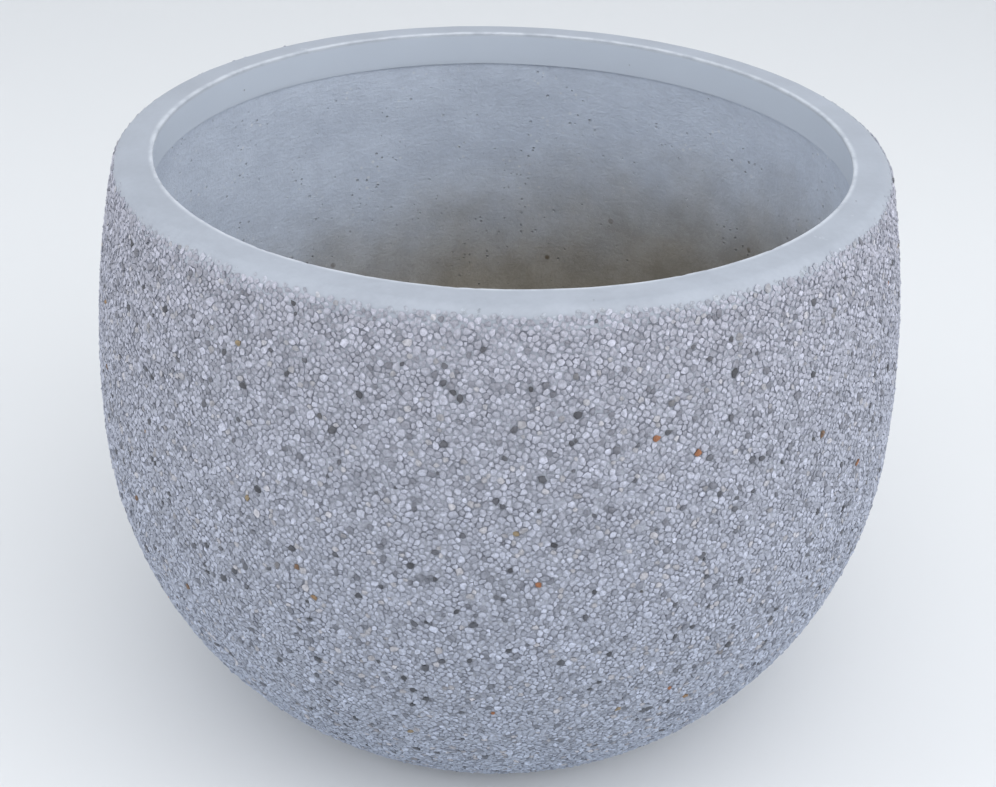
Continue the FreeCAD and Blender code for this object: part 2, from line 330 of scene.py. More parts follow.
for _ in range(ROUNDS):
    near = neighbours()
    for _ in range(PUSHES):
        dx, dy = offsets(near)
        gap = np.maximum(np.hypot(dx, dy), 1e-6)
        push = np.clip(size[:, None] + size[near] - gap, 0, None) / gap * EASE
        move_x, move_y = -(dx * push).sum(1), -(dy * push).sum(1)
        move_x[:len(fixed_size)] = move_y[:len(fixed_size)] = 0
        angle += move_x / at(length)[0]
        length = np.clip(length + move_y, 0.0025, run[-1])
near = neighbours()
dx, dy = offsets(near)
gap = np.hypot(dx, dy)
print("nearest centres %.1f mm apart" % (1000 * np.median(gap.min(1))))

# %% [markdown]
# The stones are chips: angular, some of them long, packed so that each is shaped by its neighbours. Every
# stone starts as an ellipse. Between two of them lies a line that neither may cross, set by how far the
# ellipses reach and turned a little by chance. The shortest reach in eight uneven directions then gives the
# stone's corners.

# %% Outline each stone
SIDES = 8
CEMENT_LINE = 0.00010
SKEW = 1.2
count = len(size)
own = np.arange(count)[:, None]
lie = rng.uniform(0, math.pi, count)
stretch = np.exp(rng.uniform(0, 0.45, count))
corner = np.arange(SIDES) + rng.uniform(-0.3, 0.3, (count, SIDES))
turn = rng.uniform(0, 2 * math.pi, count)[:, None] + corner * 2 * math.pi / SIDES


def ellipse(which, way):
    """Half width of stones in a direction."""
    off = way - lie[which]
    return size[which] / np.hypot(np.cos(off) / stretch[which], np.sin(off) * stretch[which])


bearing = np.arctan2(dy, dx)
mine, theirs = ellipse(own, bearing), ellipse(near, bearing)
border = gap * mine / (mine + theirs)
# One number for each pair of neighbours, the same from both sides
pair = np.sin(12.9898 * np.minimum(own, near) + 78.233 * np.maximum(own, near)) * 43758.5453
skew = SKEW * (pair - np.floor(pair) - 0.5)
ahead = np.cos(turn[:, :, None] - (bearing + skew)[:, None, :])
least = 0.12
reach = np.where(ahead > least, (border * np.cos(skew))[:, None, :] / np.maximum(ahead, least), 1.0).min(2)
reach = np.minimum(reach, 1.3 * ellipse(own, turn))
reach = reach * rng.uniform(0.84, 1.06, reach.shape) - CEMENT_LINE * rng.uniform(0, 1, count)[:, None]
reach = np.maximum(reach, 0.3 * size[:, None])
width = reach.mean(1)
print("stones from %.1f to %.1f mm wide" % tuple(2000 * np.percentile(width, (2, 98))))

# %% [markdown]
# Near the top the smooth cement of the rim was drawn down over the stones, so they flatten out on the
# shoulder. A number from 0 to 1 says how much of a stone shows there: it falls towards the rim, with some
# chance in it and a slow wave round the pot. Stones that are covered are dropped. All others stand up to a
# millimetre proud and lean a little. Their edges rise unevenly, and facets of different width cut their
# tops.

# %% Set the stones' heights
COVER_TOP = 0.4372
COVER_DEPTH = 0.0034
stone_r, stone_z, out_r, out_z = at(length)
wander = 0.0006 * (np.sin(3 * angle + 1.0) + np.sin(8 * angle) + np.sin(19 * angle + 2.0))
shown = np.clip((COVER_TOP + wander - stone_z) / COVER_DEPTH + rng.normal(0, 0.12, count), 0, 1)
height = np.clip(width * rng.uniform(0.22, 0.62, count), 0.0003, 0.0013) * shown
sink = (1 - shown) * 0.0003
lean = np.clip(rng.normal(0, 0.20, count), -0.38, 0.38) * shown
lean_way = rng.uniform(0, 2 * math.pi, count)
edge_rise = rng.uniform(0.10, 0.88, (count, SIDES))
facet = rng.uniform(0.64, 0.95, (count, SIDES))
kept = shown > 0.12
print("stones shown:", int(kept.sum()), " mean height %.2f mm" % (1000 * height.mean()))

# %% [markdown]
# Most stones are pale, with grey, dark and a few brown ones between them. The ones of the solids keep their
# kind; the rest are drawn by chance. Every stone gets its own tint, stored on the mesh as a colour
# attribute. Low on the pot the stones are tinted bluer and higher up warmer: that is painted light, the
# bluish light that reaches the lower side. The rim's cement veils the stones on the shoulder.

# %% Draw kinds and tints
ODDS = (0.941, 0.045, 0.013, 0.001)
kind = rng.choice(4, count, p=ODDS)
kind[shown < 1] = 0
kind[:len(fixed_kind)] = fixed_kind
# Painted light: stones low on the pot get a bluer cast, upper ones a warmer one
LOW_PAINTED_SKYLIGHT = np.array([0.835, 0.960, 1.215])
HIGH_PAINTED_SKYLIGHT = np.array([0.945, 0.955, 1.120])
WARM_CAST = np.array([0.975, 0.970, 1.060])
VEIL = np.array([0.36, 0.40, 0.455])
BROWNS = np.array([[0.29, 0.12, 0.055], [0.27, 0.21, 0.13], [0.17, 0.10, 0.06], [0.27, 0.17, 0.09]])
tone = np.select(
    [kind == 0, kind == 1, kind == 2],
    [np.clip(rng.normal(0.417, 0.055, count), 0.27, 0.56), rng.uniform(0.17, 0.31, count),
     rng.uniform(0.06, 0.14, count)], 1.0)
# Painted light by height, bluer below; a few stones take a warm tint of their own instead
painted_skylight_and_warm_tint = LOW_PAINTED_SKYLIGHT + (HIGH_PAINTED_SKYLIGHT - LOW_PAINTED_SKYLIGHT) * (stone_z / top_z)[:, None]
painted_skylight_and_warm_tint = np.where(rng.random(count)[:, None] < 0.04, WARM_CAST, painted_skylight_and_warm_tint)
tint = np.where((kind == 3)[:, None], BROWNS[rng.integers(0, 4, count)], tone[:, None] * painted_skylight_and_warm_tint)
tint = VEIL + (tint - VEIL) * shown[:, None]
print("kinds:", {k: int(((kind == i) & kept).sum()) for i, k in enumerate(KINDS)})

# %% [markdown]
# Each stone is a flat chip of three rings and a top point: a root below the cement, the edge, and the
# border of the top facet. All stones are worked out at once as number arrays, first flat and then set on
# the outline. The tint's alpha holds how high a point lies on its stone, so that a shader can paint shade
# into the gaps. A flat position in a square is kept as well, for a UV map.

# %% Points of the stones
ROOT = -0.0010
LOWEST = 0.0004
ring_scale = np.stack([np.full_like(facet, 0.95), np.ones_like(facet), facet])
ring_rise = np.stack([np.zeros_like(facet), edge_rise, 0.5 + 0.5 * edge_rise])
ring_crown = np.stack([np.zeros_like(facet), 0.05 + 0.45 * edge_rise, np.full_like(facet, 0.9)])
UV_SCALE = (0.49, 0.42, 0.28)
POINTS = 3 * SIDES + 1


def stone_vertices(pick):
    """Points, tints and flat positions of the stones picked, POINTS for each."""
    n = len(pick)
    flat = np.zeros((n, POINTS, 2))
    up = np.zeros((n, POINTS))
    crown = np.zeros((n, POINTS))
    square = np.zeros((n, POINTS, 2))
    around = np.stack([np.cos(turn[pick]), np.sin(turn[pick])], 2)
    for k in range(3):
        ring = slice(k * SIDES, (k + 1) * SIDES)
        flat[:, ring] = around * (reach[pick] * ring_scale[k][pick])[:, :, None]
        up[:, ring] = ring_rise[k][pick] * height[pick][:, None] if k else ROOT
        crown[:, ring] = ring_crown[k][pick]
        square[:, ring] = around * UV_SCALE[k]
    up[:, -1] = height[pick]
    crown[:, -1] = 1.0
    slope = np.stack([np.cos(lean_way[pick]), np.sin(lean_way[pick])], 1) * lean[pick][:, None]
    up[:, SIDES:] += (flat[:, SIDES:] * slope[:, None, :]).sum(2)
    up -= sink[pick][:, None]
    c, s = np.cos(angle[pick]), np.sin(angle[pick])
    normal = np.stack([out_r[pick] * c, out_r[pick] * s, out_z[pick]], 1)
    across = np.stack([-s, c, np.zeros(n)], 1)
    upward = np.cross(normal, across)
    centre = np.stack([stone_r[pick] * c, stone_r[pick] * s, stone_z[pick]], 1)
    co = (centre[:, None] + flat[:, :, :1] * across[:, None] + flat[:, :, 1:] * upward[:, None]
          + up[:, :, None] * normal[:, None])
    co[:, :, 2] = np.maximum(co[:, :, 2], LOWEST)
    colour = np.concatenate([np.repeat(tint[pick][:, None], POINTS, 1), crown[:, :, None]], 2)
    return co, colour, square


print("one stone has", POINTS, "points; the first is at",
      np.round(stone_vertices(np.array([0]))[0][0, -1], 3))

# %% [markdown]
# Building tens of thousands of separate objects would be slow, so many stones are written as one mesh
# straight from the arrays: points, corners of the faces, tints, and a UV map that gives each stone its own
# square. Edges sharper than a set angle stay crisp, as on a chip.

# %% A mesh of many stones
CRISP = math.radians(38)


def stone_corners():
    """Corners of one stone's faces, and how many corners each face has."""
    nxt = [(i + 1) % SIDES for i in range(SIDES)]
    faces = [tuple(reversed(range(SIDES)))]
    for k in (0, SIDES):
        faces += [(k + i, k + nxt[i], k + SIDES + nxt[i], k + SIDES + i) for i in range(SIDES)]
    faces += [(2 * SIDES + i, 2 * SIDES + nxt[i], POINTS - 1) for i in range(SIDES)]
    return np.concatenate(faces), np.array([len(f) for f in faces])


def stone_piece(name, pick):
    """One mesh object of all the stones picked."""
    co, colour, square = stone_vertices(pick)
    corners, totals = stone_corners()
    n = len(pick)
    loops = (corners[None] + np.arange(n)[:, None] * POINTS).reshape(-1)
    lengths = np.tile(totals, n)
    mesh = bpy.data.meshes.new(name)
    mesh.vertices.add(n * POINTS)
    mesh.vertices.foreach_set("co", co.reshape(-1))
    mesh.loops.add(len(loops))
    mesh.loops.foreach_set("vertex_index", loops)
    mesh.polygons.add(len(lengths))
    mesh.polygons.foreach_set("loop_start", np.concatenate([[0], np.cumsum(lengths)[:-1]]))
    mesh.update(calc_edges=True)
    mesh.polygons.foreach_set("use_smooth", np.ones(len(lengths), bool))
    mesh.set_sharp_from_angle(angle=CRISP)
    paint = mesh.color_attributes.new("tint", "FLOAT_COLOR", "POINT")
    paint.data.foreach_set("color", colour.reshape(-1))
    side = math.ceil(math.sqrt(n))
    cell = np.stack([np.arange(n) % side, np.arange(n) // side], 1)
    # The hidden underside shrinks into a corner of the stone's square
    spot = square[:, corners]
    spot[:, :SIDES] = spot[:, :SIDES] * 0.04 - 0.47
    uv = (cell[:, None] + 0.5 + spot) / side
    mesh.uv_layers.new(name="OFBake").data.foreach_set("uv", uv.reshape(-1))
    mesh.validate()
    piece = bpy.data.objects.new(name, mesh)
    scene.collection.objects.link(piece)
    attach(piece, "pot")
    return piece


print("one stone has", len(stone_corners()[1]), "faces")

# %% [markdown]
# The pale stones are so many that they are split into sectors round the pot; each of the other kinds is one
# piece. Every piece rides on the pot and stands in for the stones of the same kind among the solids.

# %% Build the stone pieces
SECTORS = (15, 1, 1, 1)
stone_pieces = {}
for i, label in enumerate(KINDS):
    sector = ((angle / (2 * math.pi)) % 1 * SECTORS[i]).astype(int)
    for part in range(SECTORS[i]):
        pick = np.nonzero(kept & (kind == i) & (sector == part))[0]
        name = label + "_stones_dressed" + ("" if SECTORS[i] == 1 else "_%d" % (part + 1))
        piece = stone_piece(name, pick)
        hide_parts(label + "_stones")
        stone_pieces[name] = piece
        print(name, len(pick), "stones")

# %% [markdown]
# The rim and the wall inside are turned shapes as well, but a hand-finished one is never quite true. They
# could be given a displacement modifier; here the section is turned point by point, so that each point can
# be moved by a slow wave and, on the inner edge, by small nicks. The dressed piece then stands in for its
# solid.

# %% Turn a section into a piece
def waves(seed, terms, fastest):
    """A smooth uneven field over the angle round the pot and the length along a section, from -1 to 1."""
    draw = np.random.default_rng(seed)
    around = draw.integers(1, fastest, terms)
    along = draw.uniform(-60, 60, terms)
    phase = draw.uniform(0, 2 * math.pi, terms)
    weight = 1 / np.sqrt(around)

    def field(theta, s):
        total = sum(w * np.cos(a * theta + b * s + p) for w, a, b, p in zip(weight, around, along, phase))
        return total / weight.sum() * 1.6
    return field


def turned(name, section, segments, shift):
    """A closed section of (radius, height) points turned about the axis, each point moved by shift."""
    section = np.array(section)
    step = np.hypot(*(np.roll(section, -1, 0) - section).T)
    s = np.concatenate([[0], np.cumsum(step)])
    theta = np.arange(segments) * 2 * math.pi / segments
    grid_t, grid_s = np.meshgrid(theta, s[:-1], indexing="ij")
    move_r, move_z = shift(grid_t, grid_s, section)
    r = section[None, :, 0] + move_r
    z = section[None, :, 1] + move_z
    co = np.stack([r * np.cos(grid_t), r * np.sin(grid_t), np.broadcast_to(z, r.shape)], 2)
    n = len(section)
    i, j = np.meshgrid(np.arange(segments), np.arange(n), indexing="ij")
    i2, j2 = (i + 1) % segments, (j + 1) % n
    quads = np.stack([i * n + j, i2 * n + j, i2 * n + j2, i * n + j2], 2).reshape(-1, 4)
    mesh = bpy.data.meshes.new(name)
    mesh.from_pydata(co.reshape(-1, 3), [], quads)
    u = np.stack([i, i + 1, i + 1, i], 2) / segments
    v = np.stack([s[j], s[j], s[j + 1], s[j + 1]], 2) / s[-1]
    mesh.uv_layers.new(name="OFBake").data.foreach_set("uv", np.stack([u, v], 3).reshape(-1))
    mesh.polygons.foreach_set("use_smooth", np.ones(len(quads), bool))
    mesh.set_sharp_from_angle(angle=math.radians(40))
    piece = bpy.data.objects.new(name, mesh)
    scene.collection.objects.link(piece)
    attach(piece, "pot")
    return piece


def line(a, b, parts):
    """Points from a up to but not including b."""
    return [(a[0] + (b[0] - a[0]) * t / parts, a[1] + (b[1] - a[1]) * t / parts) for t in range(parts)]


print("a slow wave at one place:", round(float(waves(1, 8, 9)(0.3, 0.1)), 3))

# %% [markdown]
# The rim was run off with a template, so it has one section all round: the lip that hangs inside the wall,
# the seat on the facing, the round outer shoulder that blends into the stones, the flat top and the crisp
# inner edge. Its corners are measured from the solid, and the points between them are filled in.

# %% The rim's section
rim_r, rim_z = rings("rim_ring")
lip_z = rim_z.min()
lip_r = rim_r[rim_z < lip_z + TINY].min()
lip_back = rim_r[rim_z < lip_z + TINY].max()
flat_in = rim_r[rim_z > top_z - TINY].min()
mouth_r = rim_r.min()
edge_z = rim_z[rim_r < mouth_r + TINY].max()
rim_side = outline[outline[:, 1] > seat_z][:, :2]
rim_side = rim_side[rim_side[:, 1] < shoulder_z + SHOULDER_R * math.sin(shoulder_tilt)][::8]
rim_top = arc_points(shoulder_r, shoulder_z, SHOULDER_R, shoulder_tilt, math.pi / 2)[::3, :2]
edge_turn = np.linspace(0, math.pi / 2, 6)[1:-1]
edge = [(mouth_r + (flat_in - mouth_r) * (1 - math.sin(a)), edge_z + (top_z - edge_z) * math.cos(a))
        for a in edge_turn]
rim_section = line((lip_r, lip_z), (lip_back, lip_z), 2) + line((lip_back, lip_z), (lip_back, seat_z), 3)
rim_section += line((lip_back, seat_z), (seat_r, seat_z), 3) + [(seat_r, seat_z)]
rim_section += [tuple(p) for p in rim_side] + [tuple(p) for p in rim_top]
rim_section += line((shoulder_r, top_z), (flat_in, top_z), 10)[1:] + [(flat_in, top_z)] + edge
rim_section += line((mouth_r, edge_z), (lip_r, lip_z), 12)
print("rim section of", len(rim_section), "points, lip %.1f mm deep" % (1000 * (top_z - lip_z)))

# %% [markdown]
# It was then rubbed smooth by hand, so it wavers by fractions of a millimetre, and its inner edge has the
# small nicks that come with use. Each nick is a soft dent round one point of that edge.

# %% The rim
rim_wave = waves(11, 14, 11)
rim_ripple = waves(12, 24, 60)
NICKS = 46
nick_at = rng.uniform(0, 2 * math.pi, NICKS)
nick_size = rng.uniform(0.0008, 0.0028, NICKS)
nick_depth = nick_size * rng.uniform(0.04, 0.12, NICKS)


def rim_shift(theta, s, section):
    """Slow unevenness all over, and nicks along the inner edge."""
    free = np.clip((section[:, 1] - seat_z) / 0.006, 0, 1)
    inner = np.clip((lip_back - section[:, 0]) / 0.006, 0, 1)
    loose = np.maximum(free, inner)[None]
    move_r = 0.00035 * rim_wave(theta, s) * loose
    move_z = 0.00030 * rim_ripple(theta, s) * free[None]
    far = np.hypot(section[:, 0] - mouth_r, section[:, 1] - top_z)[None]
    for a, wide, deep in zip(nick_at, nick_size, nick_depth):
        across = ((theta - a + math.pi) % (2 * math.pi) - math.pi) * mouth_r
        dent = deep * np.exp(-(across ** 2 + far ** 2) / wide ** 2)
        move_r, move_z = move_r + dent, move_z - dent
    return move_r, move_z


rim = turned("rim_dressed", rim_section, 900, rim_shift)
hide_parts("rim_ring")
print("rim", len(rim.data.polygons), "faces, mouth %.1f mm across" % (2000 * mouth_r))

# %% [markdown]
# Below the lip the cast wall shows. Mortar fills most of the joint between the two, and only a thin shadow
# line is left. The wall was pressed by hand against a form and left rough, so its waves are higher and
# quicker than the rim's.

# %% The wall inside
SEAM = 0.0006
wall_r, wall_z = rings("wall_shell")
ledge_z = wall_z[(wall_r > lip_r) & (wall_r < lip_back)].max()
ledge_r = wall_r[np.abs(wall_z - ledge_z) < TINY].min()
back_r = lip_back + 0.0002
inner_r = wall_r[np.abs(wall_z - belly_z) < TINY].min()
outer_r = wall_r.max()
depth = belly_r - inner_r
floor_top = rings("base_slab")[1].max()
ring_r = wall_r.min()
ring_z = wall_z[wall_r < ring_r + TINY].max()


def coat(depth, z0, z1, spacing):
    """Points of the outline moved in by depth, from height z0 to z1."""
    pts = outline[:, :2] - depth * outline[:, 2:]
    pts = pts[(pts[:, 1] > z0 + TINY) & (pts[:, 1] < z1 - TINY)][::spacing]
    return [tuple(p) for p in pts]


seam_z = lip_z - SEAM
inside = coat(depth, floor_top, seam_z, 14)
outside = coat(belly_r - outer_r, 0.008, seat_z, 60)
wall_section = [(ring_r, 0.0), (ring_r, ring_z)] + inside
wall_section += [(ledge_r, seam_z), (back_r, seam_z), (back_r, seat_z)]
wall_section += outside[::-1] + [(outside[0][0], 0.0)]
wall_wave = waves(21, 22, 14)
wall_ripple = waves(22, 40, 90)


def wall_shift(theta, s, section):
    """Hand-pressed unevenness of the inner face only."""
    open_face = (section[:, 1] > floor_top) & (section[:, 1] < seam_z + TINY)
    open_face &= section[:, 0] < np.interp(section[:, 1], outline[:, 1], outline[:, 0]) - depth * 0.7
    return (0.0007 * wall_wave(theta, s) + 0.0003 * wall_ripple(theta, 3 * s)) * open_face[None], 0.0


wall = turned("wall_dressed", wall_section, 640, wall_shift)
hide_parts("wall_shell")
print("wall", len(wall.data.polygons), "faces, %.1f mm thick at the belly" % (1000 * (outer_r - inner_r)))

# %% [markdown]
# Finishes are built from shader nodes alone, so they follow the object at any distance. A small helper adds
# a node and either sets or links its inputs. Effects that several finishes share become node groups, with
# named sockets, so that the same mottle or the same pinholes can be tuned for each finish.

# %% Helpers for nodes
def add(tree, kind, inputs=None, **settings):
    """A new node with its settings, and its inputs set to values or linked from sockets."""
    node = tree.nodes.new(kind)
    for key, value in settings.items():
        setattr(node, key, value)
    for key, value in (inputs or {}).items():
        if isinstance(value, bpy.types.NodeSocket):
            tree.links.new(value, node.inputs[key])
        else:
            node.inputs[key].default_value = value
    return node


def math_node(tree, operation, a, b=0.0):
    """The result of a sum, product or other simple operation."""
    return add(tree, "ShaderNodeMath", {0: a, 1: b}, operation=operation).outputs[0]


def ramp(tree, value, low, high, start=0.0, end=1.0):
    """A value eased from start to end while it goes from low to high."""
    sockets = {"Value": value, "From Min": low, "From Max": high, "To Min": start, "To Max": end}
    return add(tree, "ShaderNodeMapRange", sockets, interpolation_type="SMOOTHSTEP").outputs[0]


def noise(tree, vector, scale, detail=5.0, rough=0.6):
    """Soft random grey."""
    sockets = {"Vector": vector, "Scale": scale, "Detail": detail, "Roughness": rough}
    return add(tree, "ShaderNodeTexNoise", sockets).outputs[0]


def blend(tree, factor, a, b):
    """Two colours mixed by a factor."""
    mix = add(tree, "ShaderNodeMix", {0: factor, 6: a, 7: b}, data_type="RGBA")
    return mix.outputs[2]


def effect(name, inputs, outputs):
    """An empty node group with named sockets."""
    tree = bpy.data.node_groups.new(name, "ShaderNodeTree")
    for label, kind, value in inputs:
        socket = tree.interface.new_socket(label, in_out="INPUT", socket_type="NodeSocket" + kind)
        if value is not None:
            socket.default_value = value
    for label in outputs:
        tree.interface.new_socket(label, in_out="OUTPUT", socket_type="NodeSocketFloat")
    return tree, tree.nodes.new("NodeGroupInput").outputs, tree.nodes.new("NodeGroupOutput").inputs


print("helpers ready")

# %% [markdown]
# Cement dries unevenly. Broad cloudy patches lie under a fine grain, so one group mixes two scales of noise
# into a tone, and gives a height for the grain. It serves the rim, the wall, the floor, the cement between
# stones and, finer, the sleeve and the stopper.

# %% Cement mottle
mottle, sockets, out = effect("Cement mottle", [("Vector", "Vector", None), ("Scale", "Float", 12.0)],
                              ["Tone", "Height"])
broad = noise(mottle, sockets["Vector"], sockets["Scale"])
fine = noise(mottle, sockets["Vector"], math_node(mottle, "MULTIPLY", sockets["Scale"], 14.0), 4.0, 0.65)
both = math_node(mottle, "ADD", math_node(mottle, "MULTIPLY", broad, 0.68),
                 math_node(mottle, "MULTIPLY", fine, 0.32))
mottle.links.new(ramp(mottle, both, 0.36, 0.64), out["Tone"])
mottle.links.new(math_node(mottle, "ADD", fine, math_node(mottle, "MULTIPLY", broad, 0.5)), out["Height"])
print(mottle.name, len(mottle.nodes), "nodes")

# %% [markdown]
# Air bubbles that burst at the surface leave pinholes. A cell texture gives each cell one random spot; only
# some cells keep theirs, and each hole gets its own width, so they look scattered and not printed. The same
# spots, paler or browner, serve as flecks of lime and crumbs of soil.

# %% Pinholes
pinholes, sockets, out = effect(
    "Pinholes", [("Vector", "Vector", None), ("Scale", "Float", 120.0), ("Width", "Float", 0.3),
                 ("Share", "Float", 0.4)], ["Mask", "Height"])
cells = add(pinholes, "ShaderNodeTexVoronoi", {"Vector": sockets["Vector"], "Scale": sockets["Scale"]})
draw = add(pinholes, "ShaderNodeSeparateColor", {"Color": cells.outputs["Color"]})
keep = math_node(pinholes, "LESS_THAN", draw.outputs[0], sockets["Share"])
share = ramp(pinholes, draw.outputs[1], 0.0, 1.0, 0.35, 1.0)
wide = math_node(pinholes, "MULTIPLY", sockets["Width"], share)
hole = ramp(pinholes, math_node(pinholes, "DIVIDE", cells.outputs["Distance"], wide), 0.5, 1.0, 1.0, 0.0)
mask = math_node(pinholes, "MULTIPLY", hole, keep)
pinholes.links.new(mask, out["Mask"])
pinholes.links.new(math_node(pinholes, "SUBTRACT", 1.0, mask), out["Height"])
print(pinholes.name, len(pinholes.nodes), "nodes")

# %% [markdown]
# Below a level a surface turns darker. On the sleeve and the stopper this is the stain soil leaves; on the
# wall inside and the floor it is painted shade deep in the pot together with soil stain. The group compares
# the height of a point with that level, which may tilt, and breaks the edge up with noise. It serves the
# wall inside, the floor, the sleeve and the stopper.

# %% Soil stain and painted shade
soil_and_shade_group, sockets, out = effect(
    "Soil stain and painted shade", [("Vector", "Vector", None), ("Level", "Float", 0.3), ("Fade", "Float", 0.1),
                   ("Tilt", "Float", 0.0)], ["Mask"])
across, _, up = add(soil_and_shade_group, "ShaderNodeSeparateXYZ", {0: sockets["Vector"]}).outputs
level_here = math_node(soil_and_shade_group, "ADD", sockets["Level"], math_node(soil_and_shade_group, "MULTIPLY", sockets["Tilt"], across))
below = math_node(soil_and_shade_group, "DIVIDE", math_node(soil_and_shade_group, "SUBTRACT", level_here, up), sockets["Fade"])
uneven = math_node(soil_and_shade_group, "SUBTRACT", noise(soil_and_shade_group, sockets["Vector"], 14.0, 6.0), 0.5)
rough = math_node(soil_and_shade_group, "MULTIPLY", uneven, 0.55)
soil_and_shade_group.links.new(ramp(soil_and_shade_group, math_node(soil_and_shade_group, "ADD", below, rough), 0.0, 1.0), out["Mask"])
print(soil_and_shade_group.name, len(soil_and_shade_group.nodes), "nodes")

# %% [markdown]
# A stone is never one flat colour: it has faint clouds and a fine grain. All four kinds of stone share this
# group, and only their tints differ.

# %% Stone grain
grain, sockets, out = effect("Stone grain", [("Vector", "Vector", None), ("Scale", "Float", 420.0)],
                             ["Tone", "Height"])
cloud = noise(grain, sockets["Vector"], sockets["Scale"], 3.0)
speck = noise(grain, sockets["Vector"], math_node(grain, "MULTIPLY", sockets["Scale"], 5.0), 2.0)
grain.links.new(ramp(grain, math_node(grain, "ADD", math_node(grain, "MULTIPLY", cloud, 0.7),
                                      math_node(grain, "MULTIPLY", speck, 0.3)), 0.33, 0.67), out["Tone"])
grain.links.new(speck, out["Height"])
print(grain.name, len(grain.nodes), "nodes")

# %% [markdown]
# A finish is a Principled shader whose sockets the groups feed. The texture space is the object's own, so a
# finish travels with its piece when a joint moves.

# %% Start a finish
def finish_of(name, roughness):
    """A new material: its node tree, its shader and the object's own coordinates."""
    material = bpy.data.materials.new(name)
    material.use_nodes = True
    tree = material.node_tree
    shader = tree.nodes["Principled BSDF"]
    shader.inputs["Roughness"].default_value = roughness
    place = add(tree, "ShaderNodeTexCoord").outputs["Object"]
    return material, tree, shader, place


def use(tree, group, inputs):
    """The outputs of a node that runs a group."""
    node = tree.nodes.new("ShaderNodeGroup")
    node.node_tree = group
    for key, value in inputs.items():
        if isinstance(value, bpy.types.NodeSocket):
            tree.links.new(value, node.inputs[key])
        else:
            node.inputs[key].default_value = value
    return node.outputs


def bump(tree, shader, height, distance, strength=1.0):
    """Small relief on a shader."""
    node = add(tree, "ShaderNodeBump", {"Height": height, "Distance": distance, "Strength": strength})
    tree.links.new(node.outputs[0], shader.inputs["Normal"])


print("finishes start from a Principled shader")

# %% [markdown]
# The rim is white cement rubbed smooth: satin, nearly even, with faint clouds, a few pinholes and some pale
# scuffs where pots and tools have knocked it. The lip inside is painted paler, as painted light on a face
# that lies in the shade of the mouth, and the inner edge gets a painted highlight, where hands have also
# worn it pale. Masks find both by the distance of a point from that edge, in radius and in height.

# %% Rim cement
rim_cement, tree, shader, place = finish_of("rim cement", 0.55)
clouds = use(tree, mottle, {"Vector": place, "Scale": 16.0})
holes = use(tree, pinholes, {"Vector": place, "Scale": 95.0, "Width": 0.10, "Share": 0.10})
colour = blend(tree, clouds["Tone"], (0.317, 0.347, 0.403, 1), (0.366, 0.400, 0.461, 1))
scuff = ramp(tree, noise(tree, place, 34.0, 6.0, 0.7), 0.66, 0.74)
colour = blend(tree, math_node(tree, "MULTIPLY", scuff, 0.6), colour, (0.66, 0.70, 0.76, 1))
flat_place = add(tree, "ShaderNodeVectorMath", {0: place, 1: (1, 1, 0)}, operation="MULTIPLY").outputs[0]
radius = add(tree, "ShaderNodeVectorMath", {0: flat_place}, operation="LENGTH").outputs["Value"]
inward = math_node(tree, "ABSOLUTE", math_node(tree, "SUBTRACT", radius, mouth_r))
beneath = math_node(tree, "SUBTRACT", top_z, add(tree, "ShaderNodeSeparateXYZ", {0: place}).outputs[2])
# Painted highlight along the inner edge, which is also worn pale
painted_highlight_and_wear = ramp(tree, math_node(tree, "ADD", inward, beneath), 0.0015, 0.0042, 1.0, 0.0)
painted_highlight_and_wear = math_node(tree, "MULTIPLY", painted_highlight_and_wear, ramp(tree, noise(tree, place, 60.0), 0.30, 0.62, 0.15, 0.55))
# Painted light: the lip's inner face is painted paler than the top
lip_painted_light = math_node(tree, "MULTIPLY", ramp(tree, beneath, 0.001, 0.004),
                     ramp(tree, inward, 0.007, 0.011, 1.0, 0.0))
colour = blend(tree, math_node(tree, "MULTIPLY", lip_painted_light, 0.9), colour, (0.57, 0.635, 0.735, 1))
colour = blend(tree, painted_highlight_and_wear, colour, (0.64, 0.68, 0.74, 1))
# The pinholes are bumped in; their dark colour is painted shade inside them
colour = blend(tree, math_node(tree, "MULTIPLY", holes["Mask"], 0.6), colour, (0.20, 0.21, 0.23, 1))
tree.links.new(colour, shader.inputs["Base Color"])
tree.links.new(ramp(tree, clouds["Tone"], 0.0, 1.0, 0.48, 0.64), shader.inputs["Roughness"])
relief = math_node(tree, "ADD", holes["Height"], math_node(tree, "MULTIPLY", clouds["Height"], 0.15))
bump(tree, shader, relief, 0.0004)
rim.data.materials.append(rim_cement)
print(rim_cement.name, len(tree.nodes), "nodes")

# %% [markdown]
# The wall inside is plain grey cement as it came from the form. A stretched noise gives the faint level
# streaks of the trowel. In rough patches the skin has pits, painted dark as shade inside them, and pale
# flecks of lime. Towards the bottom, and more to the right, it turns darker and browner: painted shade deep
# in the pot, with a soil stain and a few darker crumbs in it.

# %% Wall cement
wall_cement, tree, shader, place = finish_of("wall cement", 0.85)
clouds = use(tree, mottle, {"Vector": place, "Scale": 26.0})
pits = use(tree, pinholes, {"Vector": place, "Scale": 190.0, "Width": 0.30, "Share": 0.55})
flecks = use(tree, pinholes, {"Vector": place, "Scale": 210.0, "Width": 0.42, "Share": 0.45})
crumbs = use(tree, pinholes, {"Vector": place, "Scale": 70.0, "Width": 0.26, "Share": 0.16})
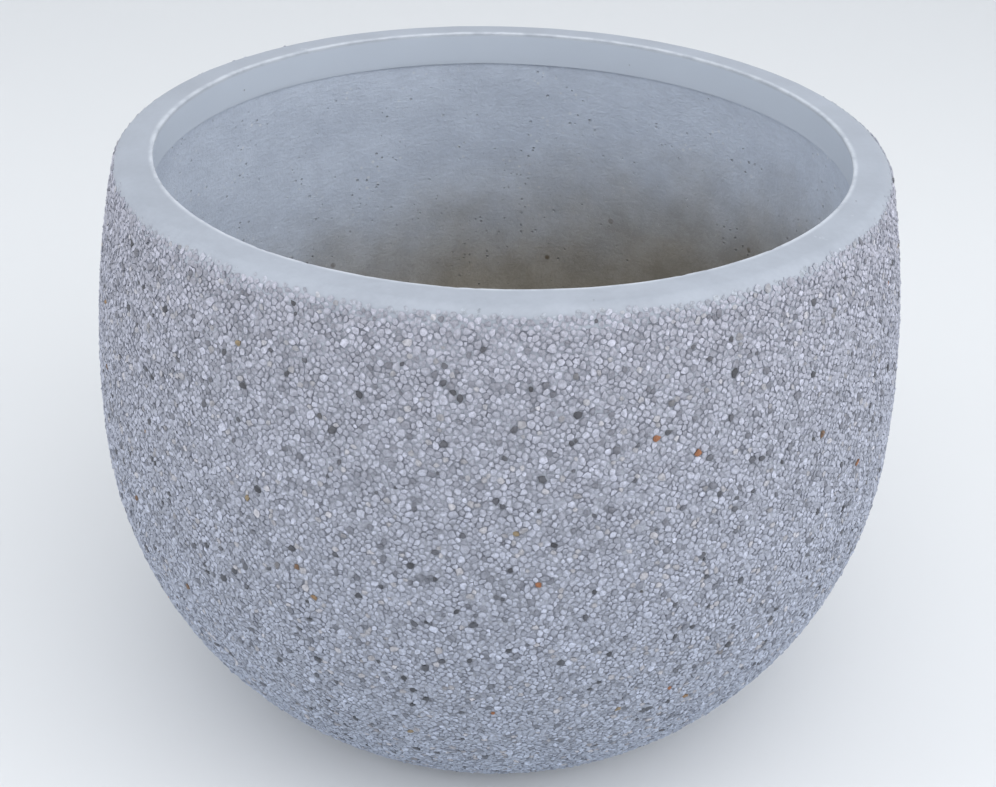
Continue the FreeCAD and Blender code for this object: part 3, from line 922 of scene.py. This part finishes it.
# Painted shade deep in the pot, darker to the right, with soil stain in it
soil_and_shade = use(tree, soil_and_shade_group, {"Vector": place, "Level": 0.350, "Fade": 0.17, "Tilt": 0.2})
flattened = add(tree, "ShaderNodeVectorMath", {0: place, 1: (1, 1, 2.5)}, operation="MULTIPLY").outputs[0]
streaks = noise(tree, flattened, 95.0, 5.0, 0.68)
patches = ramp(tree, noise(tree, place, 24.0, 4.0), 0.46, 0.64)
pit_share = math_node(tree, "ADD", math_node(tree, "MULTIPLY", patches, 0.9), 0.1)
pit_mask = math_node(tree, "MULTIPLY", pits["Mask"], pit_share)
colour = blend(tree, clouds["Tone"], (0.53, 0.595, 0.715, 1), (0.60, 0.67, 0.795, 1))
colour = blend(tree, ramp(tree, streaks, 0.36, 0.64, 0.16, 0.0), colour, (0.34, 0.38, 0.45, 1))
pale = math_node(tree, "MULTIPLY", flecks["Mask"], math_node(tree, "MULTIPLY", patches, 0.55))
colour = blend(tree, pale, colour, (0.74, 0.77, 0.81, 1))
shade_and_stain_colour = blend(tree, clouds["Tone"], (0.20, 0.170, 0.115, 1), (0.285, 0.250, 0.190, 1))
# Darker and browner below the level: painted shade with soil stain
colour = blend(tree, math_node(tree, "MULTIPLY", soil_and_shade["Mask"], 0.90), colour, shade_and_stain_colour)
brown = math_node(tree, "MULTIPLY", crumbs["Mask"], math_node(tree, "MULTIPLY", soil_and_shade["Mask"], patches))
colour = blend(tree, brown, colour, (0.10, 0.07, 0.04, 1))
# The pits are bumped in; their dark colour is painted shade inside them
colour = blend(tree, math_node(tree, "MULTIPLY", pit_mask, 0.45), colour, (0.17, 0.175, 0.18, 1))
tree.links.new(colour, shader.inputs["Base Color"])
tree.links.new(ramp(tree, clouds["Tone"], 0.0, 1.0, 0.78, 0.95), shader.inputs["Roughness"])
relief = math_node(tree, "ADD", math_node(tree, "MULTIPLY", clouds["Height"], 0.5),
                   math_node(tree, "MULTIPLY", streaks, 0.3))
relief = math_node(tree, "SUBTRACT", relief, math_node(tree, "MULTIPLY", pit_mask, 0.8))
bump(tree, shader, relief, 0.0013)
wall.data.materials.append(wall_cement)
print(wall_cement.name, len(tree.nodes), "nodes")

# %% [markdown]
# Between the stones the facing's own cement shows as thin lines: dark with painted shade in an open gap,
# and nearly as pale as the stones where the cement fills it.

# %% Facing cement
facing_cement, tree, shader, place = finish_of("facing cement", 0.9)
clouds = use(tree, mottle, {"Vector": place, "Scale": 110.0})
# The dark end is painted shade in the gaps; the pale end is the cement's own tone
colour = blend(tree, clouds["Tone"], (0.18, 0.19, 0.225, 1), (0.40, 0.425, 0.49, 1))
tree.links.new(colour, shader.inputs["Base Color"])
bump(tree, shader, clouds["Height"], 0.0005)
print(facing_cement.name, len(tree.nodes), "nodes")

# %% [markdown]
# The stones are matte chips with a slight sheen. Each takes its tint from the mesh, and the grain varies
# it. Low on a stone the colour turns to that of the gap, by the tint's alpha: painted shade where the gap
# is open. A soft noise decides where the gaps get that painted shade and where they are filled with pale
# cement, so that no stone has an even outline.

# %% Stones
FILLED = 2.3


def shade(tree, colour, factor):
    """A colour made darker or lighter."""
    sockets = {0: colour, 1: (factor, factor, factor)}
    return add(tree, "ShaderNodeVectorMath", sockets, operation="MULTIPLY").outputs[0]


def stone_finish(name, roughness, gap_shade):
    """Finish of one kind of stone; the last argument is the colour of an open gap, painted shade."""
    material, tree, shader, place = finish_of(name, roughness)
    own = add(tree, "ShaderNodeAttribute", attribute_name="tint")
    speckle = use(tree, grain, {"Vector": place, "Scale": 420.0})
    darker, lighter = (shade(tree, own.outputs["Color"], factor) for factor in (0.68, 1.21))
    colour = blend(tree, speckle["Tone"], darker, lighter)
    # Low on a stone: painted shade where the gap is open, pale cement where the noise fills it
    filled = ramp(tree, noise(tree, place, 150.0, 3.0), 0.42, 0.60)
    between = blend(tree, filled, gap_shade, tuple(FILLED * c for c in gap_shade[:3]) + (1,))
    colour = blend(tree, ramp(tree, own.outputs["Alpha"], 0.0, 0.42), between, colour)
    tree.links.new(colour, shader.inputs["Base Color"])
    tree.links.new(ramp(tree, speckle["Tone"], 0.0, 1.0, roughness - 0.08, roughness + 0.08),
                   shader.inputs["Roughness"])
    bump(tree, shader, speckle["Height"], 0.0004)
    return material


# Painted shade of an open gap between the stones
GAP_PAINTED_SHADE = (0.17, 0.18, 0.21, 1)
stone_finishes = {
    "pale": stone_finish("pale stone", 0.62, GAP_PAINTED_SHADE),
    "grey": stone_finish("grey stone", 0.60, GAP_PAINTED_SHADE),
    "dark": stone_finish("dark stone", 0.52, (0.11, 0.115, 0.125, 1)),
    "brown": stone_finish("brown stone", 0.58, (0.14, 0.12, 0.10, 1)),
}
for name, piece in stone_pieces.items():
    piece.data.materials.append(stone_finishes[name.split("_")[0]])
print("stone finishes on", len(stone_pieces), "pieces")

# %% [markdown]
# Three small finishes are left: the zinc-coated wire inside the wall, the plastic sleeve in the drain hole
# and the rubber stopper. Zinc has a faint crystal pattern, moulded plastic a fine grain, and rubber a dusty
# bloom.

# %% Wire, sleeve and stopper
wire_zinc, tree, shader, place = finish_of("galvanised wire", 0.42)
shader.inputs["Metallic"].default_value = 1.0
crystals = add(tree, "ShaderNodeTexVoronoi", {"Vector": place, "Scale": 420.0})
tree.links.new(ramp(tree, crystals.outputs["Distance"], 0.0, 1.0, 0.34, 0.52), shader.inputs["Roughness"])
tree.links.new(blend(tree, crystals.outputs["Distance"], (0.50, 0.51, 0.53, 1), (0.64, 0.65, 0.67, 1)),
               shader.inputs["Base Color"])

sleeve_plastic, tree, shader, place = finish_of("sleeve plastic", 0.5)
clouds = use(tree, mottle, {"Vector": place, "Scale": 60.0})
soil_and_shade = use(tree, soil_and_shade_group, {"Vector": place, "Level": 0.045, "Fade": 0.02})
colour = blend(tree, clouds["Tone"], (0.26, 0.27, 0.28, 1), (0.33, 0.34, 0.35, 1))
colour = blend(tree, math_node(tree, "MULTIPLY", soil_and_shade["Mask"], 0.4), colour, (0.16, 0.14, 0.11, 1))
tree.links.new(colour, shader.inputs["Base Color"])
bump(tree, shader, clouds["Height"], 0.0001)

plug_rubber, tree, shader, place = finish_of("plug rubber", 0.72)
clouds = use(tree, mottle, {"Vector": place, "Scale": 80.0})
soil_and_shade = use(tree, soil_and_shade_group, {"Vector": place, "Level": 0.052, "Fade": 0.02})
colour = blend(tree, clouds["Tone"], (0.022, 0.022, 0.024, 1), (0.045, 0.045, 0.047, 1))
colour = blend(tree, math_node(tree, "MULTIPLY", soil_and_shade["Mask"], 0.45), colour, (0.13, 0.115, 0.095, 1))
tree.links.new(colour, shader.inputs["Base Color"])
bump(tree, shader, clouds["Height"], 0.0002)
print("three small finishes made")

# %% [markdown]
# The remaining solids keep their own shape and only take a finish, set on their material slots. The floor
# gets the cement of the wall, whose painted shade and soil stain cover it almost wholly.

# %% Finish the carried-over solids
carried = {"pebble_facing": facing_cement, "base_slab": wall_cement, "drain_sleeve": sleeve_plastic,
           "drain_plug": plug_rubber}
carried.update({n: wire_zinc for n in nodes if n.endswith("hoop") or n.endswith("uprights")})
for name, material in carried.items():
    for slot in nodes[name].material_slots:
        slot.material = material
print("carried over:", ", ".join(sorted(carried)))

# %% [markdown]
# Last, the dressed pot is measured against the solids: how far it grows beyond the space that they fill.

# %% Measure against the solids
new_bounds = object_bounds()
growth = [[round(1000 * (b - a), 2) for a, b in zip(p, q)] for p, q in zip(cad_bounds, new_bounds)]
print("grown by (mm):", growth)
